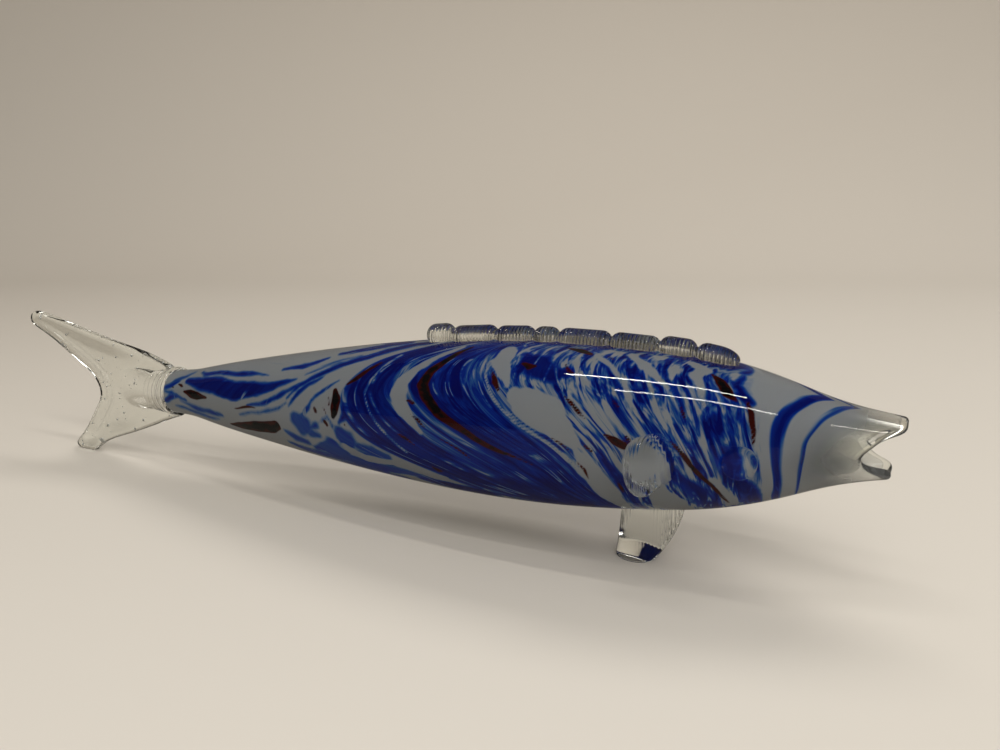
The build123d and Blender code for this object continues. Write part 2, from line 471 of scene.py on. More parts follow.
    def rim(self, angle: float) -> float:
        """Find how far the sheared wall reaches on one side of the mouth.

        Args:
            angle: Turn from the top of the body, in radians.

        Returns:
            Station of the rim, found by casting rays at the skin and halving.
        """
        low, high = self.shear_start, self.length
        for _ in range(self.halvings):
            middle = (low + high) / 2
            radius = float(self.skin(np.array([middle]))[0])
            reached = abs(self.cast(middle, angle) - radius) < self.near_skin
            low, high = (middle, high) if reached else (low, middle)
        return low


@dataclass(frozen=True)
class ClearGlass:
    """Clear soda-lime studio glass, worked hot and left with its fire polish.

    The eye sees through it to what it bends, with dark edges and sharp highlights. The crimp and
    the paddles leave ribs about 1 mm apart. That is too fine to show, so they are drawn coarser.
    """

    name: str = "fire_polished_clear_glass"
    colour: str = "#f4f5ef"
    roughness: float = 0.0
    ior: float = 1.5
    ripple: float = 0.0
    ripple_length: float = 9.0
    rib_step: float = 0.0
    rib_depth: float = 0.0
    # The ribs fade out along one axis, between these distances from the middle of the part
    rib_axis: str = "Y"
    rib_full: float = 0.0
    rib_gone: float = 500.0

    def build(self) -> bpy.types.Material:
        """Build tinted transmission, with hot-work ripple and crimping ribs as a bump.

        Returns:
            The material.
        """
        material = bpy.data.materials.new(self.name)
        material.use_nodes = True
        tree = material.node_tree
        tree.nodes.clear()
        # Where pieces have fused there is no surface, so their hidden faces let light straight through
        fused = add_node(tree, "ShaderNodeAttribute", {"attribute_name": "fused"}, {}).outputs["Fac"]
        inputs = {
            "Base Color": linear(self.colour),
            "Roughness": self.roughness,
            "IOR": self.ior,
            "Transmission Weight": 1.0,
            "Alpha": add_node(tree, "ShaderNodeMath", {"operation": "LESS_THAN"}, {0: fused, 1: 0.5}),
            "Normal": self.relief(tree),
        }
        shader = add_node(tree, "ShaderNodeBsdfPrincipled", {}, inputs)
        add_node(tree, "ShaderNodeOutputMaterial", {}, {"Surface": shader})
        return material

    def relief(self, tree: bpy.types.NodeTree) -> bpy.types.Node:
        """Bump the surface with the ripple and the ribs.

        Args:
            tree: Node tree of the material.

        Returns:
            The node that gives the normal.
        """
        place = add_node(tree, "ShaderNodeTexCoord", {}, {}).outputs["Object"]
        waves = {"Vector": place, "Scale": 1 / (self.ripple_length * MM), "Detail": 1.0}
        ripple = add_node(tree, "ShaderNodeTexNoise", {}, waves)
        swell = {"Height": ripple, "Strength": 1.0, "Distance": self.ripple * MM}
        bump = add_node(tree, "ShaderNodeBump", {}, swell)
        if not self.rib_depth:
            return bump
        apart = add_node(tree, "ShaderNodeSeparateXYZ", {}, {"Vector": place}).outputs
        turn = {0: apart["X"], 1: math.tau / (self.rib_step * MM), 2: ripple}
        turn = add_node(tree, "ShaderNodeMath", TIMES_PLUS, turn)
        wave = add_node(tree, "ShaderNodeMath", {"operation": "SINE"}, {0: turn})
        out = add_node(tree, "ShaderNodeMath", {"operation": "ABSOLUTE"}, {0: apart[self.rib_axis]})
        fade = {"Value": out, "From Min": self.rib_full * MM, "From Max": self.rib_gone * MM}
        fade |= {"To Min": 1.0, "To Max": 0.0}
        ribs = {"Height": wave, "Strength": add_node(tree, "ShaderNodeMapRange", {}, fade)}
        ribs |= {"Distance": self.rib_depth * MM, "Normal": bump}
        return add_node(tree, "ShaderNodeBump", {}, ribs)


# Streaks of the marbling on the unrolled side: the station at each of these turns
STREAK_TURNS = (90, 75, 60, 45, 30, 15, 0, -15, -30, -45, -60, -90)
STREAKS = (
    (210, 186, 162, 138, 127, 121, 119, 122, 132, 150, 170, 205),
    (222, 200, 180, 170, 164, 164, 171, 187, 215, 240, 262, 300),
    (236, 214, 191, 181, 178, 182, 192, 212, 236, 260, 280, 312),
    (248, 226, 204, 196, 193, 203, 220, 243, 262, 278, 292, 318),
    (258, 238, 217, 208, 210, 222, 243, 264, 278, 290, 300, 322),
    (262, 243, 223, 216, 218, 232, 254, 276, 287, 296, 304, 325),
    (266, 250, 246, 248, 256, 269, 286, 297, 303, 309, 313, 328),
    (284, 270, 265, 263, 272, 286, 298, 306, 313, 317, 319, 332),
    (302, 293, 289, 292, 298, 308, 317, 321, 324, 325, 325, 336),
    (326, 320, 318, 322, 327, 335, 342, 346, 348, 350, 349, 352),
    (350, 345, 342, 345, 349, 353, 357, 360, 361, 362, 361, 362),
    (374, 368, 367, 374, 377, 379, 381, 382, 381, 380, 380, 380),
    (404, 398, 394, 390, 388, 388, 388, 388, 389, 389, 388, 386),
    (422, 416, 412, 408, 405, 402, 401, 400, 399, 398, 397, 394),
)
# Each streak is named by its station at this turn
STREAK_NAME_TURN = 30

# Across the streaks, by name: the tone, where 0 is navy and 1 is opal, and how far specks upset it
BANDS = (
    (0, 0.95, 0.1),
    (161, 0.92, 0.2),
    (164.5, 0.04, 0.4),
    (186, 0.04, 0.5),
    (191, 0.4, 1.2),
    (206, 0.3, 1.0),
    (209, 0.08, 0.7),
    (244, 0.14, 0.8),
    (262, 0.4, 1.4),
    (290, 0.57, 2.0),
    (345, 0.57, 2.0),
    (352, 0.44, 1.8),
    (376, 0.42, 1.6),
    (381, 0.94, 0.3),
    (385.4, 0.94, 0.1),
    (387, 0.03, 0.1),
    (391, 0.05, 0.1),
    (393, 0.95, 0.1),
    (402, 0.95, 0.1),
    (404, 0.1, 0.1),
    (406, 0.9, 0.1),
)
# A colour ramp holds no more than 1, so the upset goes into it as a share of the most
MOST_UPSET = max(upset for _, _, upset in BANDS)

# Patches and flecks melted into the skin, each drawn out along a line on the unrolled body
MARKS: dict[Ink, tuple[Line, ...]] = {
    Ink.OPAL: (
        ((226, 74, 1.2), (213, 62, 1.8), (203, 50, 3), (199, 38, 4.6), (199, 28, 5), (202, 18, 4),
         (207, 10, 2.4), (214, 2, 1)),
        ((190, 66, 0.6), (182, 52, 0.6), (178, 38, 0.7), (177, 25, 0.7), (181, 10, 0.7),
         (190, -4, 0.7), (203, -18, 0.6)),
        ((252, 70, 0.8), (247, 55, 0.8), (247, 44, 0.7), (252, 34, 0.7), (260, 24, 0.8),
         (270, 13, 0.9), (284, 1, 1.1), (296, -10, 1.3), (304, -24, 1.2), (309, -42, 1)),
        ((254, 69, 5), (254, 58, 5.4), (257, 48, 4), (261, 40, 1.6)),
        ((267, 33, 4.5), (274, 28, 8.3), (283, 20, 8.8), (291, 11, 7), (297, 4, 3.6)),
        ((298, 0, 1.5), (303, -10, 3.5), (308, -24, 5.5), (312, -38, 6), (316, -52, 4.5),
         (318, -60, 3)),
        ((329, -3, 1.6), (332, -10, 4.2), (335, -21, 5.6), (338, -32, 4.6)),
        ((333, -28, 2), (338, -40, 6.5), (342, -52, 8), (346, -60, 6)),
        ((362, -20, 1.4), (366, -34, 2.4), (369, -48, 2.8), (370, -58, 2.4)),
        ((300, 74, 1), (306, 66, 2), (312, 56, 1.6), (318, 46, 1)),
        ((318, 76, 2), (326, 66, 3), (334, 55, 2), (341, 46, 1)),
        ((348, 76, 2.4), (354, 70, 3.2), (350, 60, 2), (354, 48, 1.4), (358, 36, 1)),
        ((160, -22, 2), (172, -34, 3), (190, -33, 2), (206, -36, 2), (222, -40, 1.4)),
    ),
    Ink.COBALT: (
        ((8, -14, 1.4), (13, -6, 2), (20, -2, 1.2), (28, -6, 0.6)),
        ((8, 24, 1), (13, 32, 1.8), (18, 44, 1.2)),
        ((290, -78, 8), (318, -84, 11), (350, -82, 9)),
        ((222, 88, 4), (262, 88, 5), (300, 88, 4.4), (345, 87, 5), (372, 85, 4)),
        ((26, 46, 2), (40, 36, 3.6), (60, 29, 5.8), (75, 26, 5.9), (92, 25, 4.2), (106, 30, 2.6),
         (122, 40, 0.8)),
        ((36, 68, 1), (41, 57, 1.5), (58, 55, 1.9), (75, 54, 2), (90, 48, 1.2), (100, 45, 0.5)),
        ((109, 53, 0.9), (124, 60, 2.1), (139, 67, 1)),
        ((203, 84, 3), (181, 74, 2.7), (162, 62, 2.4), (147, 52, 2), (135, 42, 1.8), (125, 30, 1.4),
         (119, 18, 0.7)),
        ((121, 10, 0.8), (126, 22, 1.5), (133, 34, 1.4), (143, 43, 0.7)),
        ((86, 4, 0.7), (100, 10, 1.5), (111, 18, 1.6), (120, 27, 1.2), (126, 34, 0.6)),
        ((137, 15, 0.7), (141, 22, 1.1), (148, 30, 1), (156, 38, 0.7)),
        ((131, 1, 1), (135, 9, 1.4), (138, 17, 0.7)),
        ((160, 2, 1.2), (164, 8, 2), (165, 20, 1.4), (168, 30, 0.8)),
        ((146, 74, 2), (164, 82, 3.4), (186, 88, 4)),
        ((266, 63, 4), (274, 56, 7.2), (283, 49, 4.6), (291, 52, 2.6)),
        ((310, -2, 2), (316, -14, 3), (320, -30, 3.4), (324, -45, 3), (327, -58, 2.5)),
        ((338, 6, 2), (346, -14, 3.4), (354, -32, 4.8), (358, -46, 5.4), (360, -58, 5)),
        ((368, -14, 2.2), (374, -28, 3.6), (378, -42, 4), (379, -55, 3.6)),
        ((370, 4, 2.6), (371, -4, 4.4), (371, -13, 3.6)),
        ((372, 76, 1.2), (369, 62, 2.2), (374, 51, 3.2), (379, 44, 1.8)),
        ((303, 70, 1.2), (308, 60, 2), (313, 48, 2), (319, 37, 1)),
        ((317, 74, 1.2), (322, 62, 1.9), (327, 50, 1.8), (333, 39, 1)),
        ((333, 73, 1), (337, 62, 2), (341, 50, 1.9), (346, 38, 1.2), (350, 24, 1)),
        ((240, -32, 4), (262, -40, 8), (284, -50, 8), (296, -58, 6)),
        ((206, -50, 4), (222, -55, 6), (244, -60, 7)),
    ),
    Ink.STEEL: (
        ((79, -8, 0.7), (96, -3, 1.4), (111, 5, 1.5), (119, 13, 0.8)),
        ((22, -12, 1), (36, -17, 2.4), (50, -20, 2.5), (61, -19, 1.2)),
        ((16, -27, 0.8), (32, -33, 1.8), (46, -34, 1.6), (56, -31, 0.8)),
        ((8, 13, 1.2), (14, 8, 2.3), (19, -1, 1.2)),
        ((11, 30, 0.8), (14, 46, 1.8), (22, 62, 2), (27, 72, 1.2)),
        ((126, -3, 4.6), (131, -9, 6.4)),
        ((136, -17, 3.4), (141, -20, 2.2)),
        ((160, -10, 6), (163, -14, 7.4)),
        ((136, -38, 3), (150, -31, 7.6), (159, -34, 4)),
        ((176, -44, 5), (192, -44, 4.4), (206, -46, 3)),
        ((145, -2, 1.4), (150, 3, 1), (154, -4, 1.6)),
        ((170, -19, 3), (178, -24, 5), (188, -28, 4)),
        ((146, -40, 5), (160, -44, 7), (176, -50, 7)),
        ((134, -12, 2), (140, -8, 2.6)),
        ((114, -20, 1.4), (122, -25, 3.2), (131, -29, 2.6)),
        ((112, -38, 1.6), (124, -44, 4), (138, -49, 4.4), (152, -50, 2.4)),
        ((168, -27, 2.4), (178, -33, 4), (190, -36, 2.6)),
        ((150, -56, 3), (168, -60, 6), (190, -62, 5)),
        ((348, -24, 1.4), (352, -38, 2), (355, -52, 1.6)),
        ((325, -4, 1.6), (331, -18, 2.4), (335, -28, 1.4)),
        ((128, 47, 1), (138, 54, 1.4), (150, 62, 1.2), (162, 68, 0.6)),
    ),
    Ink.OXBLOOD: (
        ((26, 16, 0.6), (33, 14, 2.4), (40, 12, 2.4), (48, 9, 0.6)),
        ((19, 34, 0.6), (22, 31, 1.1), (24, 28, 0.5)),
        ((14, 27, 0.6), (15, 24, 0.7)),
        ((75, 1, 0.3), (84, 2, 0.9), (93, 2, 0.3)),
        ((66, -33, 0.7), (76, -29, 2.8), (90, -25, 3.5), (104, -20, 3.6), (108, -16, 3.2)),
        ((155, 27, 1.6), (157, 19, 3.5), (156, 11, 3.2), (155, 6, 1.8)),
        ((163, 33, 0.6), (168, 40, 1.7), (174, 50, 1.2), (181, 58, 0.5)),
        ((140, 9, 1), (141, 6, 1.1)),
        ((147, -2, 1.2), (149, -5, 1.1)),
        ((147, 10, 0.5), (149, 5, 0.6)),
        ((151, 20, 0.8), (151, 14, 0.5)),
        ((164, 2, 0.6), (165, 0, 0.5)),
        ((232, 74, 1), (221, 60, 2.1), (213, 47, 2.9), (211, 36, 3.1), (214, 27, 3), (222, 18, 2.5),
         (233, 10, 2), (247, 1, 1.5), (262, -8, 1), (276, -16, 0.4)),
        ((205, 24, 0.6), (208, 22, 0.8)),
        ((207, 14, 0.3), (212, 11, 0.9), (217, 6, 0.4)),
        ((196, 0, 0.3), (202, -4, 1.1), (209, -9, 0.4)),
        ((215, -27, 0.8), (218, -30, 1.4), (221, -31, 0.5)),
        ((226, -2, 0.3), (236, -10, 0.8), (246, -19, 0.3)),
        ((250, 49, 0.6), (253, 41, 1.6), (257, 35, 0.7)),
        ((284, 76, 1), (291, 74, 2.4), (298, 72, 1.1)),
        ((267, 56, 1), (271, 53, 1.8), (274, 54, 0.8)),
        ((288, 58, 0.5), (291, 53, 1), (294, 50, 0.4)),
        ((291, 34, 0.5), (296, 29, 1), (301, 23, 1.1), (305, 19, 0.3)),
        ((285, 5, 0.3), (291, 1, 0.7), (297, -4, 0.3)),
        ((303, 3, 0.9), (306, 0, 0.7)),
        ((298, -8, 0.3), (302, -14, 0.8), (304, -22, 0.3)),
        ((313, 10, 0.6), (318, 6, 1.9), (323, 2, 2), (327, -2, 0.7)),
        ((324, 9, 0.7), (326, 6, 0.9)),
        ((316, 33, 0.5), (318, 30, 0.6)),
        ((308, 71, 0.7), (311, 68, 0.5)),
        ((347, 34, 0.5), (349, 29, 0.9), (350, 25, 0.4)),
        ((344, 10, 0.6), (350, 0, 1.2), (355, -12, 1.2), (361, -26, 1), (366, -42, 0.8),
         (368, -52, 0.5)),
        ((357, 66, 0.8), (361, 59, 2.5), (366, 51, 3), (372, 44, 0.7)),
        ((377, 44, 0.8), (379, 32, 1.4), (380, 20, 1.2), (379, 7, 0.5)),
        ((317, -24, 0.5), (318, -29, 1), (319, -34, 0.5)),
    ),
}


@dataclass(frozen=True)
class Blotches:
    """Noise on the unrolled body, or along its streaks.

    A blotch's size is along the body, round it and from side to side, in millimetres.
    """

    place: str
    size: tuple[float, float, float]
    detail: float
    roughness: float = 0.5
    distortion: float = 0.0


NOISES = {
    "sway": Blotches("streak", (30, 70, 60), detail=2.0),
    "comb": Blotches("streak", (5, 60, 40), detail=2.0, roughness=0.55),
    "grain": Blotches("streak", (4.6, 24, 20), detail=3.0, roughness=0.6, distortion=0.5),
    "slow": Blotches("unrolled", (44, 9, 30), detail=3.0, roughness=0.55),
    "edge": Blotches("unrolled", (8, 5, 8), detail=2.0, roughness=0.5),
    "curl": Blotches("streak", (13, 70, 50), detail=1.0, distortion=0.4),
}


def set_stops(ramp: bpy.types.Node, stops: list[tuple[float, Any]]) -> None:
    """Set the stops of a new colour ramp.

    Args:
        ramp: Colour ramp node.
        stops: Place of each stop, rising from 0 to 1, and its colour.
    """
    elements = ramp.color_ramp.elements
    while len(elements) < len(stops):
        elements.new(1.0)
    for element, (place, colour) in zip(elements, stops):
        element.position, element.color = place, colour


@dataclass(frozen=True)
class MarbledGlass:
    """Opal white glass with cobalt and oxblood bars melted in and combed by the blower.

    The eye sees milky grey with blue streaks, feathered where the comb went, and dark red flecks.
    The gloss over it is the clear casing's. Each vertex carries its streak and its place on it,
    and how deep it lies in each ink's marks, so the shader can draw the marbling finer than the
    mesh.
    """

    name: str = "marbled_opal_glass"
    navy: str = "#020c70"
    cobalt: str = "#0a34a6"
    steel: str = "#3465ab"
    mist: str = "#8497b4"
    opal: str = "#a9adb4"
    oxblood: str = "#430d07"
    soot: str = "#0b0a0c"
    # Tone of each ink, where navy is 0 and the opal stays the same up to 1
    cobalt_tone: float = 0.3
    steel_tone: float = 0.5
    mist_tone: float = 0.66
    opal_tone: float = 0.8
    # The casing has the gloss, and this glass under it has none
    roughness: float = 0.5
    gloss: float = 0.0
    # The hidden side's marbling lies this far along from the seen side's
    far_shift: float = 17.0
    # Depth in a mark is never lower than this far outside it
    far_from_marks: float = 8.0
    # The marks wander round the closed end's pole as if its radius were this
    least_radius: float = 8.0
    # The streaks' bends are softened by averaging over these shifts along the body
    blend: tuple[float, ...] = (-3.0, -1.5, 0.0, 1.5, 3.0)
    # Two streaks count as at least this far apart
    least_gap: float = 0.5
    # Marks wander by noise: the size of its cells and how far it pushes
    wander: tuple[tuple[float, float], ...] = ((18.0, 4.0), (6.0, 0.7))
    # Noise pushes the streaks along the body, and upsets their tone
    ramp_length: float = 450.0
    sway_push: float = 14.0
    comb_push: float = 6.0
    speck_push: float = 2.2
    # From here to there the tail's own pale ground gives way to the streaks
    tail_tone: float = 0.94
    tail_ends: tuple[float, float] = (128.0, 146.0)
    tail_sway: float = 40.0
    # Each ink's patches: their tone, and by what share a millimetre in covers what is under
    patches: tuple[tuple[Ink, float, float], ...] = (
        (Ink.COBALT, 0.04, 0.34), (Ink.STEEL, 0.34, 0.28), (Ink.OPAL, 1.0, 0.6)
    )
    patch_cover: float = 0.4
    patch_grain: float = 0.4
    edge_push: float = 1.7
    # Wisps are thin lines where the noise crosses its middle, broken up by slower noise
    wisp_tone: float = 0.72
    wisp_thinness: float = 24.0
    wisp_start: float = 0.42
    wisp_rise: float = 6.0
    # Flecks cover all, are ragged by the same noise as the patches, and darken towards the middle
    fleck_ragged: float = 0.4
    fleck_cover: float = 0.5
    fleck_rise: float = 1.6
    fleck_darkening: float = -0.12
    # The noise with that darkening, at which a fleck is soot, and at which it is oxblood
    fleck_soot: float = 0.26
    fleck_red: float = 0.44
    # The colour thins out between these distances from the end of the lips
    fade_start: float = 34.0
    fade_end: float = 0.0
    fade_sway: float = 8.0
    last_alpha: float = 0.16

    def flow(self, station: np.ndarray, turn: np.ndarray) -> np.ndarray:
        """Name each vertex's streak.

        Args:
            station: Station along the blown axis.
            turn: Degrees up the side.

        Returns:
            The streak's station at the naming turn.
        """
        turns = np.array(STREAK_TURNS[::-1], float)
        curves = [cubic_through(turns, np.array(streak[::-1], float)) for streak in STREAKS]
        names = [streak[STREAK_TURNS.index(STREAK_NAME_TURN)] for streak in STREAKS]
        at = [cubic_at(curve, turn) for curve in curves]
        streak = station - at[0] + names[0]
        for i in range(len(names) - 1):
            share = (station - at[i]) / np.maximum(at[i + 1] - at[i], self.least_gap)
            inside = share >= 0
            streak[inside] = (names[i] + share * (names[i + 1] - names[i]))[inside]
        return streak

    def depth(self, ink: Ink, station: np.ndarray, turn: np.ndarray, radius: np.ndarray) -> np.ndarray:
        """Measure how deep each vertex lies in the marks of one ink.

        Args:
            ink: Ink of the marks.
            station: Station along the blown axis.
            turn: Degrees up the side.
            radius: Radius of the body there.

        Returns:
            Millimetres inside a mark's edge, below 0 outside.
        """
        best = np.full(len(station), -self.far_from_marks)
        above = np.radians(turn) * radius
        for line in MARKS[ink]:
            for first, last in zip(line, line[1:]):
                lift = [math.radians(point[1]) * radius for point in (first, last)]
                run, rise = last[0] - first[0], lift[1] - lift[0]
                ahead, over = station - first[0], above - lift[0]
                share = np.clip((ahead * run + over * rise) / (run**2 + rise**2), 0, 1)
                width = first[2] + share * (last[2] - first[2])
                best = np.maximum(best, width - np.hypot(ahead - share * run, over - share * rise))
        return best

    def write(self, piece: bpy.types.Object, axis: BlownAxis, ends: np.ndarray) -> None:
        """Write the marbling's attributes on the bubble.

        Args:
            piece: The bubble.
            axis: Its blown axis.
            ends: Station where the bubble ends, evenly spaced round it from the top and back.
        """
        station, height, side = axis.split(points_of(piece))
        radius = np.hypot(height, side)
        turn = np.degrees(np.arctan2(height, np.abs(side)))
        place = station + np.where(side > 0, self.far_shift * np.cos(np.radians(turn)), 0)
        unrolled = np.stack([station, np.radians(turn) * radius, side], axis=1)
        streak = np.mean([self.flow(place + shift, turn) - shift for shift in self.blend], axis=0)
        flow = np.stack([streak, unrolled[:, 1], side], axis=1)
        for name, rows in (("streak", flow), ("unrolled", unrolled)):
            layer = piece.data.attributes.new(name, "FLOAT_VECTOR", "POINT")
            layer.data.foreach_set("vector", rows.ravel())
        around = np.arctan2(side, height) % math.tau
        left = np.interp(around, np.linspace(0, math.tau, len(ends)), ends) - station
        layer = piece.data.attributes.new("to_the_lips", "FLOAT", "POINT")
        layer.data.foreach_set("value", left)
        ahead, above = np.zeros(len(place)), np.zeros(len(place))
        for seed, (size, push) in enumerate(self.wander):
            ahead += push * lattice_noise(unrolled, size, 2 * seed)
            above += push * lattice_noise(unrolled, size, 2 * seed + 1)
        wandered = turn + np.degrees(above / np.maximum(radius, self.least_radius))
        for ink in Ink:
            layer = piece.data.attributes.new(ink.value, "FLOAT", "POINT")
            layer.data.foreach_set("value", self.depth(ink, place + ahead, wandered, radius))

    def build(self) -> bpy.types.Material:
        """Build streaks, then patches, wisps and flecks, thinned at the lips.

        Returns:
            The material.
        """
        material = bpy.data.materials.new(self.name)
        material.use_nodes = True
        tree = material.node_tree
        tree.nodes.clear()
        places, noise, off = {}, {}, {}
        for name in ("streak", "unrolled"):
            found = add_node(tree, "ShaderNodeAttribute", {"attribute_name": name}, {})
            places[name] = found.outputs["Vector"]
        for name, kind in NOISES.items():
            scaled = {0: places[kind.place], 1: kind.size}
            scaled = add_node(tree, "ShaderNodeVectorMath", {"operation": "DIVIDE"}, scaled)
            inputs = {"Vector": scaled, "Scale": 1.0, "Detail": kind.detail}
            inputs |= {"Roughness": kind.roughness, "Distortion": kind.distortion}
            noise[name] = add_node(tree, "ShaderNodeTexNoise", {}, inputs)
            off[name] = add_node(tree, "ShaderNodeMath", MINUS, {0: noise[name], 1: 0.5})
        tone = self.streaks(tree, places, noise, off)
        rough = add_node(tree, "ShaderNodeMath", TIMES, {0: off["edge"], 1: self.edge_push})
        tone = self.lay_patches(tree, tone, rough, off)
        colour = self.lay_wisps(tree, tone, noise, off)
        colour = self.lay_flecks(tree, colour, rough, noise)
        left = add_node(tree, "ShaderNodeAttribute", {"attribute_name": "to_the_lips"}, {})
        left = {0: off["sway"], 1: self.fade_sway, 2: left.outputs["Fac"]}
        left = add_node(tree, "ShaderNodeMath", TIMES_PLUS, left)
        thin = {"Value": left, "From Min": self.fade_end, "From Max": self.fade_start}
        thin |= {"To Min": self.last_alpha, "To Max": 1.0}
        alpha = add_node(tree, "ShaderNodeMapRange", {"interpolation_type": "SMOOTHSTEP"}, thin)
        inputs = {"Base Color": colour, "Roughness": self.roughness, "Alpha": alpha}
        inputs |= {"Specular IOR Level": self.gloss}
        shader = add_node(tree, "ShaderNodeBsdfPrincipled", {}, inputs)
        add_node(tree, "ShaderNodeOutputMaterial", {}, {"Surface": shader})
        return material

    def streaks(
        self,
        tree: bpy.types.NodeTree,
        places: dict[str, bpy.types.NodeSocket],
        noise: dict[str, bpy.types.Node],
        off: dict[str, bpy.types.Node],
    ) -> bpy.types.Node:
        """Draw the combed streaks, and the tail's ground, whose blotches run lengthwise.

        Args:
            tree: Node tree of the material.
            places: The streak map and the unrolled map.
            noise: The noises by name.
            off: How far each noise is off its middle.

        Returns:
            The tone, from 0 for navy to 1 for opal.
        """
        name = add_node(tree, "ShaderNodeSeparateXYZ", {}, {"Vector": places["streak"]}).outputs["X"]
        station = add_node(tree, "ShaderNodeSeparateXYZ", {}, {"Vector": places["unrolled"]}).outputs["X"]
        pushed = {0: off["sway"], 1: self.sway_push, 2: name}
        pushed = add_node(tree, "ShaderNodeMath", TIMES_PLUS, pushed)
        pushed = {0: off["comb"], 1: self.comb_push, 2: pushed}
        pushed = add_node(tree, "ShaderNodeMath", TIMES_PLUS, pushed)
        across = add_node(tree, "ShaderNodeMath", {"operation": "DIVIDE"}, {0: pushed, 1: self.ramp_length})
        band = add_node(tree, "ShaderNodeValToRGB", {}, {"Fac": across})
        upset = add_node(tree, "ShaderNodeValToRGB", {}, {"Fac": across})
        set_stops(band, [(at / self.ramp_length, (tone, tone, tone, 1)) for at, tone, _ in BANDS])
        shares = [(at / self.ramp_length, most / MOST_UPSET) for at, _, most in BANDS]
        set_stops(upset, [(at, (share, share, share, 1)) for at, share in shares])
        specks = {0: off["grain"], 1: self.speck_push * MOST_UPSET}
        specks = add_node(tree, "ShaderNodeMath", TIMES, specks)
        tone = add_node(tree, "ShaderNodeMath", TIMES_PLUS, {0: specks, 1: upset, 2: band})
        tail = add_node(tree, "ShaderNodeMath", {"operation": "ADD"}, {0: off["slow"], 1: self.tail_tone})
        turnover = {0: noise["sway"], 1: self.tail_sway, 2: station}
        turnover = add_node(tree, "ShaderNodeMath", TIMES_PLUS, turnover)
        ends = {"Value": turnover, "From Min": self.tail_ends[0], "From Max": self.tail_ends[1]}
        share = add_node(tree, "ShaderNodeMapRange", {}, ends)
        return add_node(tree, "ShaderNodeMix", {}, {0: share, 2: tail, 3: tone})

    def lay_patches(
        self,
        tree: bpy.types.NodeTree,
        tone: bpy.types.Node,
        rough: bpy.types.Node,
        off: dict[str, bpy.types.Node],
    ) -> bpy.types.Node:
        """Lay the patches over the streaks.

        Args:
            tree: Node tree of the material.
            tone: Tone of the streaks.
            rough: Millimetres by which noise moves the patches' edges.
            off: How far each noise is off its middle.

        Returns:
            The new tone.
        """
        for ink, level, rise in self.patches:
            deep = add_node(tree, "ShaderNodeAttribute", {"attribute_name": ink.value}, {}).outputs["Fac"]
            share = {0: deep, 1: rise, 2: self.patch_cover}
            share = add_node(tree, "ShaderNodeMath", TIMES_PLUS, share)
            share = {0: rough, 1: rise, 2: share}
            share = add_node(tree, "ShaderNodeMath", TIMES_PLUS | HELD, share)
            patch = {0: off["grain"], 1: self.patch_grain, 2: level}
            patch = add_node(tree, "ShaderNodeMath", TIMES_PLUS, patch)
            tone = add_node(tree, "ShaderNodeMix", {}, {0: share, 2: tone, 3: patch})
        return tone

    def lay_wisps(
        self,
        tree: bpy.types.NodeTree,
        tone: bpy.types.Node,
        noise: dict[str, bpy.types.Node],
        off: dict[str, bpy.types.Node],
    ) -> bpy.types.Node:
        """Lay pale wisps along the streaks and turn the tone to a colour.

        Args:
            tree: Node tree of the material.
            tone: Tone of the streaks and patches.
            noise: The noises by name.
            off: How far each noise is off its middle.

        Returns:
            The colour.
        """
        wisp = add_node(tree, "ShaderNodeMath", {"operation": "ABSOLUTE"}, {0: off["curl"]})
        wisp = add_node(tree, "ShaderNodeMath", TIMES | HELD, {0: wisp, 1: self.wisp_thinness})
        wisp = add_node(tree, "ShaderNodeMath", MINUS, {0: 1.0, 1: wisp})
        broken = add_node(tree, "ShaderNodeMath", MINUS, {0: noise["slow"], 1: self.wisp_start})
        broken = add_node(tree, "ShaderNodeMath", TIMES | HELD, {0: broken, 1: self.wisp_rise})
        wisp = add_node(tree, "ShaderNodeMath", TIMES, {0: wisp, 1: broken})
        wisp = add_node(tree, "ShaderNodeMath", TIMES, {0: wisp, 1: self.wisp_tone})
        tone = add_node(tree, "ShaderNodeMath", {"operation": "MAXIMUM"}, {0: tone, 1: wisp})
        colour = add_node(tree, "ShaderNodeValToRGB", {}, {"Fac": tone})
        stops = [(0.0, self.navy), (self.cobalt_tone, self.cobalt), (self.steel_tone, self.steel)]
        stops += [(self.mist_tone, self.mist), (self.opal_tone, self.opal), (1.0, self.opal)]
        set_stops(colour, [(place, linear(ink)) for place, ink in stops])
        return colour

    def lay_flecks(
        self,
        tree: bpy.types.NodeTree,
        colour: bpy.types.Node,
        rough: bpy.types.Node,
        noise: dict[str, bpy.types.Node],
    ) -> bpy.types.Node:
        """Lay the oxblood flecks over the colour.

        Args:
            tree: Node tree of the material.
            colour: Colour of what is under them.
            rough: Millimetres by which noise moves the patches' edges.
            noise: The noises by name.

        Returns:
            The new colour.
        """
        deep = add_node(tree, "ShaderNodeAttribute", {"attribute_name": Ink.OXBLOOD.value}, {})
        deep = {0: rough, 1: self.fleck_ragged, 2: deep.outputs["Fac"]}
        deep = add_node(tree, "ShaderNodeMath", TIMES_PLUS, deep)
        dark = {0: deep, 1: self.fleck_darkening, 2: noise["edge"]}
        dark = add_node(tree, "ShaderNodeMath", TIMES_PLUS, dark)
        fleck = add_node(tree, "ShaderNodeValToRGB", {}, {"Fac": dark})
        inks = [(self.fleck_soot, self.soot), (self.fleck_red, self.oxblood)]
        set_stops(fleck, [(place, linear(ink)) for place, ink in inks])
        share = {0: deep, 1: self.fleck_rise, 2: self.fleck_cover}
        share = add_node(tree, "ShaderNodeMath", TIMES_PLUS | HELD, share)
        return add_node(tree, "ShaderNodeMix", {"data_type": "RGBA"}, {0: share, 6: colour, 7: fleck})


